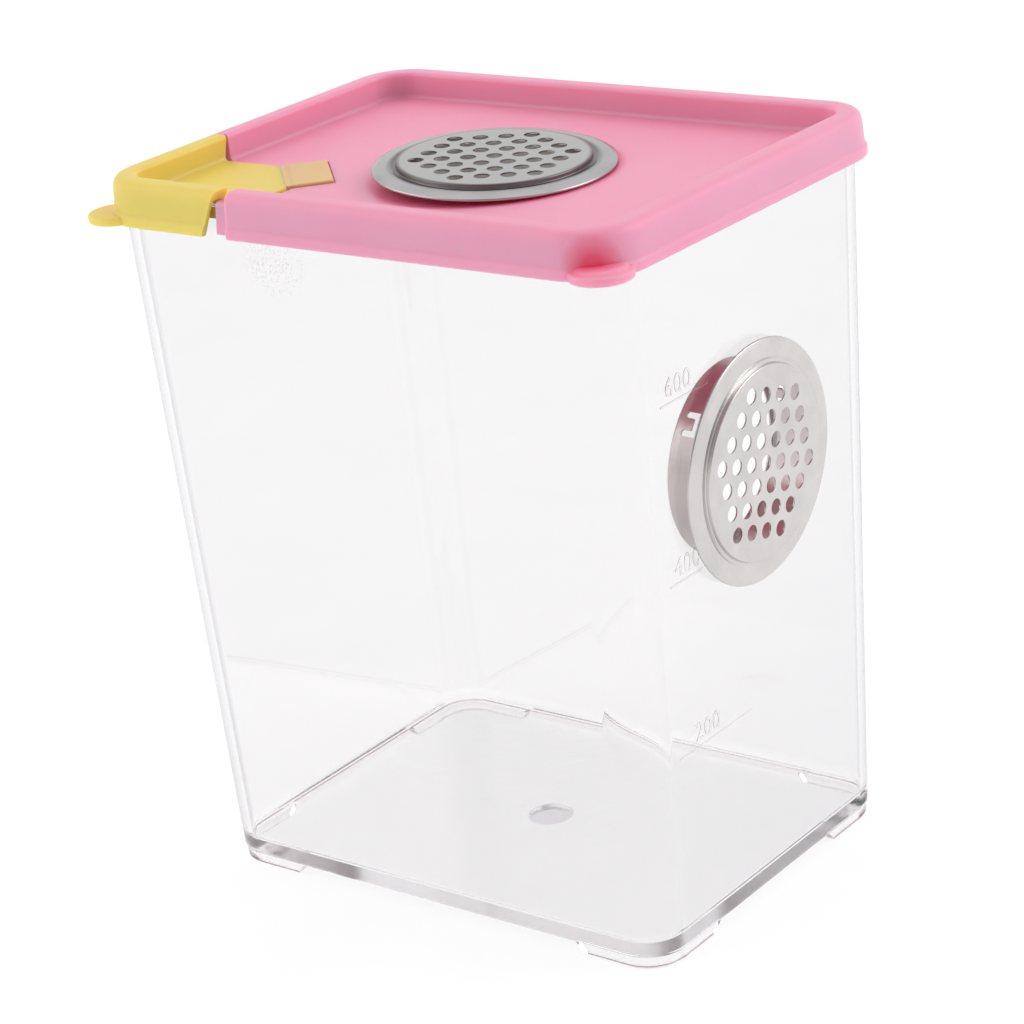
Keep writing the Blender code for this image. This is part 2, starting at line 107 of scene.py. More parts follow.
# Spout flap, its pad and the web between them
FLAP_EDGE_X = FLAP_HIGH.x - MIDDLE.x
FLAP_EDGE_Y = FLAP_HIGH.y - MIDDLE.y
SEAM_SLOPE = 0.26  # how far the flap's edge across the -X rim runs in for each unit down
FLAP_END_JUT = 0.8 * MM  # the top of its rim's end, past its floor's edge
FLAP_END_SLOPE = 0.38  # how far that end runs back for each unit down
HINGE = Vector(FLAP_JOINT["pos_m"]) - MIDDLE
FLAP_TOP = HINGE.z
FLAP_FLOOR_T = 1.0 * MM
CREASE_SUM = HINGE.x + HINGE.y
CREASE_CLEAR = 0.55 * MM
GAP = 0.3 * MM
PAD_LENGTH = 14.2 * MM
PAD_WIDTH = 7.0 * MM
LEDGE_T = 1.2 * MM
LEDGE_WIDTH = 2.0 * MM
WEB_T = 0.85 * MM
WEB_GROOVE = 0.1 * MM
WEB_SUNK = 0.03 * MM
WEB_ANCHOR = 0.4 * MM  # how far the web reaches into the pad and into the flap

# Vents, in a frame whose +Z is the outward normal of the face that they sit on
VENT_R = 20.5 * MM
VENT_TOP = 1.9 * MM
SHEET = 0.5 * MM
PLATEAU_T = 0.28 * MM
STEP_R = 16.3 * MM  # where the flange steps up to the perforated middle
LID_VENT_SHIFT = 1.2 * MM  # along +X and along -Y, from the CAD's place, for it and its hole
LID_VENT_TILT = math.radians(3.0)  # it has sprung a little proud of the panel on its -X side
BARREL_R = 16.4 * MM
BARREL_T = 0.4 * MM
BARREL_DEPTH = 7.3 * MM
WALL_VENT_STAND = 0.7 * MM  # it isn't pushed right home
BARREL_TOP = 1.05 * MM
VENT_HOLE_R = 16.9 * MM
SHADE_RING_INSIDE = (15.6 * MM, 16.2 * MM)  # the painted shade ring beside the step fades in between these radii
SHADE_RING_OUTSIDE = (17.1 * MM, 18.2 * MM)  # and out between these
PERFORATION_R = 1.36 * MM
PITCH = 4.34 * MM
PERFORATION_RINGS = 3
SNAP_TABS = 3
LID_VENT_TURN = math.radians(38)
LID_TAB_TURN = math.radians(181.5)
WALL_VENT_TURN = math.radians(75)
WALL_TAB_TURN = math.radians(-128.5)

# Camera and light
CAMERA_SPOT = (0.31796, -0.39107, 0.25593)
CAMERA_AZIMUTH = math.radians(39.43)
CAMERA_ELEVATION = math.radians(21.07)
CAMERA_ROLL = math.radians(-6.08)
CAMERA_LENS_MM = 109.6
CAMERA_SHIFT_X = 0.0082
CAMERA_SHIFT_Y = 0.0027
OVER_CAMERA = (0.47, -0.57, 0.67)
SKY_BY_HEIGHT = ((0.0, 1.0), (0.14, 0.94), (0.38, 0.78), (0.62, 0.95), (1.0, 1.0))
SKY_OVER_CAMERA = ((0.6, 1.0), (0.92, 0.40))
CARD_GLOW = 0.865
CARD_HALF = 3.0
BOUNCES = 96  # light runs a long way along the tub's floor before it leaves

# Mesh resolution
CORNER_STEPS = 20
ARC_STEPS = 5
ROUND_STEPS = 160
HOLE_STEPS = 32
TIP_STEPS = 40
ROOT_STEPS = 10
GATE_STEPS = 8
WEB_STEPS = 16

FAR = 80.0 * MM  # beyond the lid, for outlines that cut right out of it
PAST = 5 * MM  # how far a cutter reaches past what it cuts


# ---------------------------------------------------------------- mesh tools


def new_object(name, mesh):
    made = bpy.data.objects.new(name, mesh)
    bpy.context.scene.collection.objects.link(made)
    return made


def mesh_object(name, points, faces):
    mesh = bpy.data.meshes.new(name)
    mesh.from_pydata([tuple(point) for point in points], [], faces)
    work = bmesh.new()
    work.from_mesh(mesh)
    bmesh.ops.recalc_face_normals(work, faces=work.faces)
    work.to_mesh(mesh)
    work.free()
    return new_object(name, mesh)


def lofted(name, rings):
    """A closed body through rings of equal length, with its first and last ring filled."""
    size = len(rings[0])
    points = [point for ring in rings for point in ring]
    faces = [tuple(range(size))]
    for level in range(len(rings) - 1):
        start = level * size
        for side in range(size):
            after = (side + 1) % size
            here, beside = start + side, start + after
            faces.append((here, beside, size + beside, size + here))
    last = (len(rings) - 1) * size
    faces.append(tuple(range(last, last + size)))
    return mesh_object(name, points, faces)


def prism(name, outline, low, high):
    return lofted(name, [[(x, y, z) for x, y in outline] for z in (low, high)])


def turned(name, profile, closed, steps=ROUND_STEPS):
    """A solid of revolution about +Z. An open profile starts and ends with a ring that is filled."""
    if not closed:
        rings = []
        for radius, height in profile:
            turn = [math.tau * step / steps for step in range(steps)]
            rings.append([(radius * math.cos(a), radius * math.sin(a), height) for a in turn])
        return lofted(name, rings)
    points = []
    faces = []
    count = len(profile)
    for step in range(steps):
        angle = math.tau * step / steps
        points += [(r * math.cos(angle), r * math.sin(angle), z) for r, z in profile]
        after = (step + 1) % steps
        for side in range(count):
            beside = (side + 1) % count
            start, end = step * count, after * count
            faces.append((start + side, start + beside, end + beside, end + side))
    return mesh_object(name, points, faces)


def filleted(corners, closed=False, steps=ARC_STEPS):
    """Rounds a polyline. Each corner is (radius, coordinates...); a corner of radius 0 stays sharp."""
    spots = [Vector(corner[1:]) for corner in corners]
    count = len(spots)
    line = []
    for index, here in enumerate(spots):
        radius = corners[index][0]
        ends = not closed and index in (0, count - 1)
        if radius == 0 or ends:
            line.append(here)
            continue
        back = spots[index - 1] - here
        ahead = spots[(index + 1) % count] - here
        half = back.xy.angle(ahead.xy) / 2
        reach = radius / math.tan(half)
        reach = min(reach, 0.49 * back.xy.length, 0.49 * ahead.xy.length)
        start = here + back * (reach / back.xy.length)
        end = here + ahead * (reach / ahead.xy.length)
        for step in range(steps + 1):
            share = step / steps
            line.append(start.lerp(here, share).lerp(here.lerp(end, share), share))
    return line


def rounded_ring(half_x, half_y, radius, height, side_steps=0):
    """A rectangle with rounded corners, anticlockwise from +X, with extra points along its sides."""
    arcs = []
    for sign_x, sign_y, start in ((1, 1, 0), (-1, 1, 90), (-1, -1, 180), (1, -1, 270)):
        centre = Vector((sign_x * (half_x - radius), sign_y * (half_y - radius), height))
        for step in range(CORNER_STEPS + 1):
            angle = math.radians(start + 90 * step / CORNER_STEPS)
            arcs.append(centre + radius * Vector((math.cos(angle), math.sin(angle), 0)))
    points = []
    for index, point in enumerate(arcs):
        points.append(point)
        if index % (CORNER_STEPS + 1) == CORNER_STEPS:
            after = arcs[(index + 1) % len(arcs)]
            gaps = side_steps + 1
            points += [point.lerp(after, step / gaps) for step in range(1, gaps)]
    return points


def combine(target, tools, operation):
    """Joins or cuts target with the tools, in turn, and removes the tools."""
    for tool in tools:
        step = target.modifiers.new("combine", "BOOLEAN")
        step.operation = operation
        step.solver = "EXACT"
        step.object = tool
    settle(target)
    for tool in tools:
        bpy.data.objects.remove(tool, do_unlink=True)


def settle(target):
    """Applies the object's modifiers to its mesh."""
    graph = bpy.context.evaluated_depsgraph_get()
    mesh = bpy.data.meshes.new_from_object(target.evaluated_get(graph), depsgraph=graph)
    target.modifiers.clear()
    target.data = mesh


def clean(target, distance=0.004 * MM):
    """Merges the doubled points that cuts leave, so that bevels run cleanly."""
    work = bmesh.new()
    work.from_mesh(target.data)
    bmesh.ops.remove_doubles(work, verts=work.verts, dist=distance)
    bmesh.ops.dissolve_degenerate(work, edges=work.edges, dist=distance)
    work.to_mesh(target.data)
    work.free()


def finished(target, edge_radius=0.0, bevel_angle=35, smooth_angle=32):
    """Softens the edges, shades smooth and keeps flat faces flat."""
    if edge_radius:
        soft = target.modifiers.new("soft edges", "BEVEL")
        soft.width = edge_radius
        soft.segments = 3
        soft.limit_method = "ANGLE"
        soft.angle_limit = math.radians(bevel_angle)
        soft.use_clamp_overlap = True
        settle(target)
    target.data.shade_smooth()
    target.data.set_sharp_from_angle(angle=math.radians(smooth_angle))
    flat = target.modifiers.new("flat faces", "WEIGHTED_NORMAL")
    flat.keep_sharp = True
    flat.weight = 80
    settle(target)
    return target


def place(target, matrix):
    target.data.transform(matrix)
    return target


def put(target, slot, seat=None):
    """Moves a piece from the tub's middle, or from its seat there, to its place, and gives it its look."""
    move = Matrix.Translation(MIDDLE)
    place(target, move @ seat if seat else move)
    target.data.materials.append(slot)


# ---------------------------------------------------------------- materials


class Nodes:
    """A short way to write a material's nodes."""

    def __init__(self, name):
        self.material = bpy.data.materials.new(name)
        self.material.use_nodes = True
        self.tree = self.material.node_tree
        self.shader = self.tree.nodes["Principled BSDF"]
        self.output = self.tree.nodes["Material Output"]
        self.place = self.add("ShaderNodeTexCoord").outputs["Object"]

    def add(self, kind, **settings):
        node = self.tree.nodes.new(kind)
        for key, value in settings.items():
            setattr(node, key, value)
        return node

    def link(self, start, end):
        self.tree.links.new(start, end)

    def set(self, **values):
        for key, value in values.items():
            self.shader.inputs[key.replace("_", " ")].default_value = value

    def noise(self, scale, detail=4.0, roughness=0.5, distortion=0.0, stretch=None):
        node = self.add("ShaderNodeTexNoise")
        node.inputs["Scale"].default_value = scale
        node.inputs["Detail"].default_value = detail
        node.inputs["Roughness"].default_value = roughness
        node.inputs["Distortion"].default_value = distortion
        source = self.place
        if stretch:
            mapping = self.add("ShaderNodeMapping")
            mapping.inputs["Scale"].default_value = stretch
            self.link(source, mapping.inputs["Vector"])
            source = mapping.outputs["Vector"]
        self.link(source, node.inputs["Vector"])
        return node.outputs["Fac"]

    def ramp(self, source, stops):
        node = self.add("ShaderNodeValToRGB")
        ramp = node.color_ramp
        while len(ramp.elements) < len(stops):
            ramp.elements.new(0.5)
        for element, (position, color) in zip(ramp.elements, stops):
            element.position = position
            rgb = color if isinstance(color, tuple) else (color, color, color)
            element.color = (*rgb, 1.0)
        self.link(source, node.inputs["Fac"])
        return node.outputs["Color"]

    def range(self, source, low, high, from_low=0.0, from_high=1.0):
        node = self.add("ShaderNodeMapRange")
        node.inputs["From Min"].default_value = from_low
        node.inputs["From Max"].default_value = from_high
        node.inputs["To Min"].default_value = low
        node.inputs["To Max"].default_value = high
        self.link(source, node.inputs["Value"])
        return node.outputs["Result"]

    def near(self, spot, full, none):
        """1 within the distance full of spot, falling to 0 at the distance none."""
        node = self.add("ShaderNodeVectorMath", operation="DISTANCE")
        node.inputs[1].default_value = spot
        self.link(self.place, node.inputs[0])
        return self.range(node.outputs["Value"], 1.0, 0.0, full, none)

    def below(self, height):
        """1 under this height, 0 above it."""
        split = self.add("ShaderNodeSeparateXYZ")
        self.link(self.place, split.inputs[0])
        fade = 0.03 * MM
        return self.range(split.outputs["Z"], 1.0, 0.0, height - fade, height + fade)

    def arithmetic(self, operation, first, second):
        node = self.add("ShaderNodeMath", operation=operation)
        self.link(first, node.inputs[0])
        self.link(second, node.inputs[1])
        return node.outputs["Value"]

    def product(self, first, second):
        return self.arithmetic("MULTIPLY", first, second)

    def larger(self, first, second):
        return self.arithmetic("MAXIMUM", first, second)

    def tinted(self, color, tint, amount):
        """color, changed towards tint where amount is high."""
        node = self.add("ShaderNodeMix", data_type="RGBA")
        self.link(amount, node.inputs["Factor"])
        self.link(color, node.inputs[6])
        node.inputs[7].default_value = (*tint, 1.0)
        return node.outputs[2]

    def bump(self, height, strength, distance, before=None):
        node = self.add("ShaderNodeBump")
        node.inputs["Strength"].default_value = strength
        node.inputs["Distance"].default_value = distance
        self.link(height, node.inputs["Height"])
        if before:
            self.link(before, node.inputs["Normal"])
        return node.outputs["Normal"]

    def finish(self, color=None, roughness=None, normal=None):
        for source, socket in ((color, "Base Color"), (roughness, "Roughness"), (normal, "Normal")):
            if source:
                self.link(source, self.shader.inputs[socket])
        return self.material


def clear_plastic():
    """Water-clear moulding with faint flow waves, tinted along its thickness.

    Its underside is lightly frosted, and the gate's dimple there is darker: painted shade for the grey
    that its curved face refracts. Its walls are a little greyer than its floor, and painted shade greys
    them further where they turn away, for the dark edges that clear walls show. A patch of fine marks lies
    high on the front wall.
    """
    nodes = Nodes("clear_plastic")
    nodes.set(Transmission_Weight=1.0, IOR=1.5)
    waves = nodes.noise(22.0, detail=1.0)
    marks = nodes.noise(260.0, detail=3.0, roughness=0.7)
    under = nodes.below(FOOT_H + 0.06 * MM)
    walls = nodes.range(nodes.below(FLOOR_TOP + 1.5 * MM), 1.0, 0.0)
    # painted shade: the gate's dimple is darkened, for the grey that its curved face refracts
    gate = nodes.near(MIDDLE + Vector((0, 0, FOOT_H)), GATE_R - 0.35 * MM, GATE_R - 0.05 * MM)
    gate = nodes.product(gate, nodes.below(FOOT_H + GATE_DEPTH + 0.3 * MM))
    patch = MIDDLE + Vector((-15.5 * MM, -(BASE_HALF_Y + TUB_RISE), TUB_TOP - 9.0 * MM))
    patch = nodes.near(patch, 3.0 * MM, 8.0 * MM)
    # painted shade: the walls grey towards their edges, where they turn away from the view
    facing = nodes.add("ShaderNodeLayerWeight").outputs["Facing"]
    painted_edge_shade = nodes.product(nodes.range(facing, 0.0, 1.0, 0.46, 0.95), walls)

    dots = nodes.range(nodes.noise(3000.0, detail=1.0), 0.0, 1.0, 0.66, 0.70)
    frost = nodes.noise(420.0, detail=2.0)
    normal = nodes.bump(waves, 0.12, 0.25 * MM)
    normal = nodes.bump(nodes.product(patch, dots), 0.75, 0.05 * MM, normal)
    normal = nodes.bump(nodes.product(under, frost), 0.5, 0.05 * MM, normal)

    rough = nodes.range(marks, 0.0, 0.03, 0.45, 0.75)
    rough = nodes.larger(rough, nodes.product(under, nodes.range(marks, 0.10, 0.16)))

    color = nodes.ramp(marks, [(0.3, (0.985, 0.982, 0.985)), (0.7, (0.98, 0.977, 0.98))])
    color = nodes.tinted(color, (0.935, 0.929, 0.934), walls)
    color = nodes.tinted(color, (0.60, 0.57, 0.61), gate)
    color = nodes.tinted(color, (0.38, 0.37, 0.43), painted_edge_shade)

    depth = nodes.add("ShaderNodeVolumeAbsorption")
    depth.inputs["Color"].default_value = (0.84, 0.81, 0.85, 1)
    depth.inputs["Density"].default_value = 5.5
    nodes.link(depth.outputs["Volume"], nodes.output.inputs["Volume"])
    return nodes.finish(color=color, roughness=rough, normal=normal)


def soft_plastic(name, base, deep, glow, painted_shades=(), reach=2.6 * MM):
    """Satin translucent plastic with a fine moulded grain, mottled slightly between base and deep.

    glow is how far each colour of light scatters, as a share of reach. Each painted shade is (place, full,
    none, tint): full within one distance of its place and gone at the other, a painted shade that deepens
    the colour in a crevice or under a part that sits over the surface.
    """
    nodes = Nodes(name)
    mottle = nodes.noise(45.0, detail=3.0)
    grain = nodes.noise(1800.0, detail=2.0)
    drift = nodes.noise(120.0, detail=2.0)
    color = nodes.ramp(mottle, [(0.3, deep), (0.7, base)])
    # painted shade: each spot deepens the colour round its place
    for spot, full, none, tint in painted_shades:
        color = nodes.tinted(color, tint, nodes.near(spot, full, none))
    nodes.set(Subsurface_Weight=0.8, Subsurface_Radius=glow, Subsurface_Scale=reach, IOR=1.58)
    normal = nodes.bump(drift, 0.25, 0.06 * MM)
    normal = nodes.bump(grain, 0.3, 0.012 * MM, normal)
    return nodes.finish(color=color, roughness=nodes.range(mottle, 0.36, 0.48), normal=normal)


def darker(tone, share):
    return tuple(share * value for value in tone)


def stainless_steel(name, tone, roughness, groove=None):
    """Satin pressed sheet: fine grain, soft press marks and small patches of wear.

    groove is the middle of a face whose step gets a ring of painted shade beside it, for the dark that the
    step reflects.
    """
    nodes = Nodes(name)
    nodes.set(Metallic=1.0)
    patch = nodes.noise(160.0, detail=3.0)
    grain = nodes.noise(2600.0, detail=2.0)
    press = nodes.noise(70.0, detail=1.0)
    color = nodes.ramp(patch, [(0.35, darker(tone, 0.9)), (0.65, tone)])
    # painted shade: a dark ring beside the step, for the dark surroundings that the step reflects
    if groove:
        color = nodes.tinted(color, darker(tone, 0.3), nodes.near(groove, *SHADE_RING_OUTSIDE))
        color = nodes.tinted(color, tone, nodes.near(groove, *SHADE_RING_INSIDE))
    normal = nodes.bump(press, 0.3, 0.05 * MM)
    normal = nodes.bump(grain, 0.25, 0.006 * MM, normal)
    rough = nodes.range(patch, roughness - 0.04, roughness + 0.06)
    return nodes.finish(color=color, roughness=rough, normal=normal)


# ---------------------------------------------------------------- tub


def tub_ring(inset, height):
    """The tub's outline at this height, drawn in by inset from its outer face."""
    lean = (height - FOOT_H) * math.tan(DRAFT)
    radius = BASE_R + (TUB_TOP_R - BASE_R) * (height - FOOT_H) / (TUB_TOP - FOOT_H)
    half_x = BASE_HALF_X + lean - inset
    half_y = BASE_HALF_Y + lean - inset
    return rounded_ring(half_x, half_y, radius - inset, height, side_steps=10)


def gate_rings(around, height):
    """Circles under the floor's middle, on the same bearings as the points of around."""
    bearings = [Vector((point[0], point[1])).normalized() for point in around]
    rings = []
    nub = 0.7 * MM
    for step in range(GATE_STEPS + 1):
        share = step / GATE_STEPS
        radius = nub + (GATE_R - nub) * share
        rise = GATE_DEPTH * (1 - share**2)
        rings.append([(*(radius * bearing), height + rise) for bearing in bearings])
    tip = [(*(0.6 * nub * bearing), height + 0.55 * GATE_DEPTH) for bearing in bearings]
    return [tip] + rings


def foot(sign_x, sign_y):
    """An L-shaped lip under one corner, with sloped ends."""
    outer_r = BASE_R - 0.35 * MM
    inner_r = outer_r - FOOT_WALL
    centre = Vector((BASE_HALF_X - BASE_R, BASE_HALF_Y - BASE_R))
    turn = [math.pi / 2 * step / CORNER_STEPS for step in range(CORNER_STEPS + 1)]
    rings = []
    for height, spread, inset in (
        (0.0, 0.0, 0.25 * MM),
        (0.25 * MM, 0.3 * MM, 0.0),
        (FOOT_H + 0.6 * MM, FOOT_SLOPE, 0.0),
    ):
        start = Vector((BASE_HALF_X, BASE_HALF_Y)) - Vector((1, 1)) * (FOOT_LENGTH + spread)
        outer = [centre + (outer_r - inset) * Vector((math.cos(a), math.sin(a))) for a in turn]
        inner = [centre + (inner_r + inset) * Vector((math.cos(a), math.sin(a))) for a in turn]
        outline = [Vector((outer[0].x, start.y))] + outer + [Vector((start.x, outer[-1].y))]
        outline += [Vector((start.x, inner[-1].y))] + inner[::-1] + [Vector((inner[0].x, start.y))]
        rings.append([(sign_x * point.x, sign_y * point.y, height) for point in outline])
    return lofted("foot", rings)


def vent_hole(seat):
    """A cutter for the round hole that a vent's barrel stands in."""
    return place(turned("vent hole", [(VENT_HOLE_R, PAST), (VENT_HOLE_R, -PAST)], closed=False), seat)


def build_tub(slot):
    floor_edge = 6.6 * MM
    profile = filleted(
        [
            (0, floor_edge, FOOT_H),
            (0.7 * MM, 0.0, FOOT_H),
            (0.5 * MM, 0.0, TUB_TOP),
            (0.5 * MM, WALL, TUB_TOP),
            (1.3 * MM, WALL, FLOOR_TOP),
            (0, floor_edge, FLOOR_TOP),
        ]
    )
    outside = [tub_ring(inset, height) for inset, height in profile]
    tub = lofted("tub", gate_rings(outside[0], FOOT_H) + outside)
    combine(tub, [foot(x, y) for x in (1, -1) for y in (1, -1)], "UNION")
    combine(tub, [vent_hole(wall_vent_place())], "DIFFERENCE")
    put(finished(tub), slot)
    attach(tub, "container")
    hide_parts("container")
    return tub


def raised_text(words, height):
    """Digits as thin closed bars, in the XY plane, rising along +Z."""
    cap_share = 0.7
    curve = bpy.data.curves.new("digits", "FONT")
    curve.body = words
    curve.size = height / cap_share
    curve.extrude = 0.09 * MM
    curve.resolution_u = 4
    curve.space_character = 1.08
    text = new_object("digits", curve)
    graph = bpy.context.evaluated_depsgraph_get()
    mesh = bpy.data.meshes.new_from_object(text.evaluated_get(graph), depsgraph=graph)
    bpy.data.objects.remove(text, do_unlink=True)
    made = new_object("digits", mesh)
    clean(made, 0.001 * MM)
    return made


def build_capacity_marks(slot):
    """A plain scale of hundreds on the vented wall: a line and its number at each level."""
    spacing = 30.2 * MM
    lowest = 35.9 * MM
    line_start = -26.5 * MM
    line_width = 0.35 * MM
    bend = 0.1 * MM
    scale = (("200", -22.0 * MM, 21 * MM), ("400", -25.1 * MM, 9 * MM), ("600", -25.1 * MM, 13 * MM))
    parts = []
    for step, (number, start, length) in enumerate(scale):
        height = lowest + step * spacing
        corners = ((0.0, 0.0), (length, 0.0), (length, line_width), (0.0, line_width))
        bar = filleted([(bend, *corner) for corner in corners], closed=True)
        line = prism("line", [tuple(point) for point in bar], -0.05 * MM, 0.08 * MM)
        parts.append(place(line, on_vented_wall(line_start, height)))
        digits = raised_text(number, 3.2 * MM)
        parts.append(place(digits, on_vented_wall(start, height + 1.3 * MM)))
    marks = join("capacity_marks", parts)
    put(finished(marks), slot)
    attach(marks, "container")
    return marks


def on_vented_wall(across, height):
    """A frame on the +X wall's outer face: X runs along the wall, Y up it and Z out of it."""
    wall_x = BASE_HALF_X + (height - FOOT_H) * math.tan(DRAFT)
    turn = Matrix.Rotation(math.pi / 2, 4, "Z") @ Matrix.Rotation(math.pi / 2 + DRAFT, 4, "X")
    return Matrix.Translation((wall_x, across, height)) @ turn


def join(name, parts):
    """One object from several, whose meshes stay separate closed bodies."""
    work = bmesh.new()
    for part in parts:
        work.from_mesh(part.data)
        bpy.data.objects.remove(part, do_unlink=True)
    mesh = bpy.data.meshes.new(name)
    bmesh.ops.recalc_face_normals(work, faces=work.faces)
    work.to_mesh(mesh)
    work.free()
    return new_object(name, mesh)


# ---------------------------------------------------------------- lid and spout flap


def lid_ring(inset, height, radius):
    return rounded_ring(LID_HALF_X - inset, LID_HALF_Y - inset, radius, height)


def lid_shell(name, panel_top, panel_bottom, plug_bottom):
    """The lid's whole cross-section, from the panel's underside round the channel to its top.

    Each corner is (fillet, inset from the skirt's bottom edge, height, radius of the ring's corners).
    """
    channel_in = RECESS - SKIN + 0.15 * MM
    channel_out = SKIRT_LEAN + 0.75 * MM
    channel_top = LID_TOP - 1.7 * MM
    middle = RECESS + SKIN + 2.0 * MM
    lip_top = SKIRT_BOTTOM + 2.1 * MM
    recess_r = LID_R - RECESS
    profile = [
        (0, middle, panel_bottom, PLUG_R),
        (0.4 * MM, RECESS + SKIN, panel_bottom, PLUG_R),
        (0.4 * MM, RECESS + SKIN - 0.1 * MM, plug_bottom, PLUG_R),
        (0.4 * MM, channel_in + 0.2 * MM, plug_bottom, PLUG_R),
        (0.6 * MM, channel_in, channel_top, PLUG_R),
        (0.6 * MM, channel_out, channel_top, LID_R - channel_out),
        (0.3 * MM, 1.2 * MM, SKIRT_BOTTOM, LID_R - 1.2 * MM),
        (0.8 * MM, 0.0, SKIRT_BOTTOM, LID_R),
        (0.7 * MM, 0.06 * MM, lip_top - 0.5 * MM, LID_R - 0.06 * MM),
        (0.8 * MM, 0.42 * MM, lip_top, LID_R - 0.42 * MM),
        (2.0 * MM, SKIRT_LEAN, LID_TOP, LID_R - SKIRT_LEAN),
        (0.9 * MM, RECESS, LID_TOP, recess_r),
        (0.9 * MM, RECESS, panel_top, recess_r),
        (0, middle, panel_top, recess_r),
    ]
    return lofted(name, [lid_ring(*point) for point in filleted(profile)])


def spout_outline(clear, crease_clear, undercut=0.0, jut=0.0):
    """The corner that the spout takes up, grown by clear, and by crease_clear across its crease.

    undercut draws in its edge that crosses the -X rim. jut moves its other edge along X where that crosses
    the front rim.
    """
    edge_x = FLAP_EDGE_X + clear
    edge_y = FLAP_EDGE_Y + clear - undercut
    crease = CREASE_SUM + crease_clear * math.sqrt(2)
    rim_y = -(LID_HALF_Y - RECESS) + 0.2 * MM
    return [
        (-FAR, edge_y),
        (crease - edge_y, edge_y),
        (edge_x, crease - edge_x),
        (edge_x, rim_y),
        (edge_x + jut, rim_y - 0.2 * MM),
        (edge_x + jut, -FAR),
        (-FAR, -FAR),
    ]


def tab_outline(radius):
    """A round tip of this radius outside the skirt's corner arc, closed along an arc inside the skirt."""
    arc_centre = Vector((LID_HALF_X - LID_R, LID_HALF_Y - LID_R))
    seat_r = LID_R - 0.7 * MM
    reach = LID_R - TAB_INSET
    root = math.acos((seat_r**2 + reach**2 - radius**2) / (2 * seat_r * reach))
    sweep = math.acos((seat_r * math.cos(root) - reach) / radius)
    centre = arc_centre + Vector((1, 1)).normalized() * reach
    outline = []
    for step in range(TIP_STEPS + 1):
        angle = math.pi / 4 + sweep * (2 * step / TIP_STEPS - 1)
        outline.append(centre + radius * Vector((math.cos(angle), math.sin(angle))))
    for step in range(1, ROOT_STEPS):
        angle = math.pi / 4 + root * (1 - 2 * step / ROOT_STEPS)
        outline.append(arc_centre + seat_r * Vector((math.cos(angle), math.sin(angle))))
    return outline


def corner_tab(sign_x, sign_y, stepped):
    """A half-round finger tab under the skirt's corner. The lid's has a smaller step on top of it."""
    low = SKIRT_BOTTOM + 0.15 * MM
    high = low + TAB_T
    levels = [
        (low, TAB_R - 0.35 * MM),
        (low + 0.12 * MM, TAB_R - 0.1 * MM),
        (low + 0.4 * MM, TAB_R),
        (high - 0.35 * MM, TAB_R),
        (high - 0.1 * MM, TAB_R - 0.12 * MM),
        (high, TAB_R - 0.4 * MM),
    ]
    if stepped:
        levels += [
            (high + 0.08 * MM, TAB_R - 0.75 * MM),
            (high + 0.3 * MM, TAB_R - 1.0 * MM),
            (high + 0.55 * MM, TAB_R - 1.3 * MM),
            (high + 0.72 * MM, TAB_R - 1.75 * MM),
        ]
    rings = []
    for height, radius in levels:
        outline = tab_outline(radius)
        rings.append([(sign_x * point.x, sign_y * point.y, height) for point in outline])
    return lofted("tab", rings)


def ledge():
    """A step under the panel's cut edge, on which the flap's floor rests."""
    top = FLAP_TOP - FLAP_FLOOR_T - GAP
    wall_x = -(LID_HALF_X - RECESS) + 1.0 * MM
    wall_y = -(LID_HALF_Y - RECESS) + 1.0 * MM
    back = 1.6 * MM
    crease_in = CREASE_SUM - LEDGE_WIDTH * math.sqrt(2)
    crease_out = CREASE_SUM + back * math.sqrt(2)
    inner_x, inner_y = FLAP_EDGE_X - LEDGE_WIDTH, FLAP_EDGE_Y - LEDGE_WIDTH
    outer_x, outer_y = FLAP_EDGE_X + back, FLAP_EDGE_Y + back
    outline = [
        (wall_x, outer_y),
        (crease_out - outer_y, outer_y),
        (outer_x, crease_out - outer_x),
        (outer_x, wall_y),
        (inner_x, wall_y),
        (inner_x, crease_in - inner_x),
        (crease_in - inner_y, inner_y),
        (wall_x, inner_y),
    ]
    return prism("ledge", outline, top - LEDGE_T, top)


def lug():
    """The thin lug that runs on from the lid's front rim, lower than the rim and inside its skin."""
    skirt = -LID_HALF_Y + 0.5 * MM
    shoulder = -(LID_HALF_Y - SKIRT_LEAN) + 0.45 * MM
    tub_side = -(BASE_HALF_Y + TUB_RISE + GAP)
    recess = -(LID_HALF_Y - RECESS) - 0.4 * MM
    low = SKIRT_BOTTOM + 0.6 * MM
    top = LID_TOP - 1.7 * MM
    under = top - 0.8 * MM
    foot_z = PANEL_TOP - PANEL_T
    section = filleted(
        [
            (0.3 * MM, skirt, low),
            (0.8 * MM, shoulder, top),
            (0.4 * MM, recess, top),
            (0, recess, foot_z),
            (0, recess - 0.6 * MM, foot_z),
            (0, recess - 0.6 * MM, under),
            (0, tub_side, under),
            (0.2 * MM, tub_side, low),
        ],
        closed=True,
    )
    start, end = RIM_CUT_X - LUG_LENGTH, RIM_CUT_X + 1.0 * MM
    return lofted("lug", [[(x, y, z) for y, z in section] for x in (start, end)])


def in_crease(start, end, half, low, high):
    """A bar along the crease, from start to end across it, towards the lid's middle."""
    along = Vector((-1, 1, 0)).normalized()
    across = Vector((1, 1, 0)).normalized()
    rings = []
    for height in (low, high):
        middle = Vector((HINGE.x, HINGE.y, height))
        corners = ((start, -half), (end, -half), (end, half), (start, half))
        rings.append([middle + across * out + along * side for out, side in corners])
    return rings


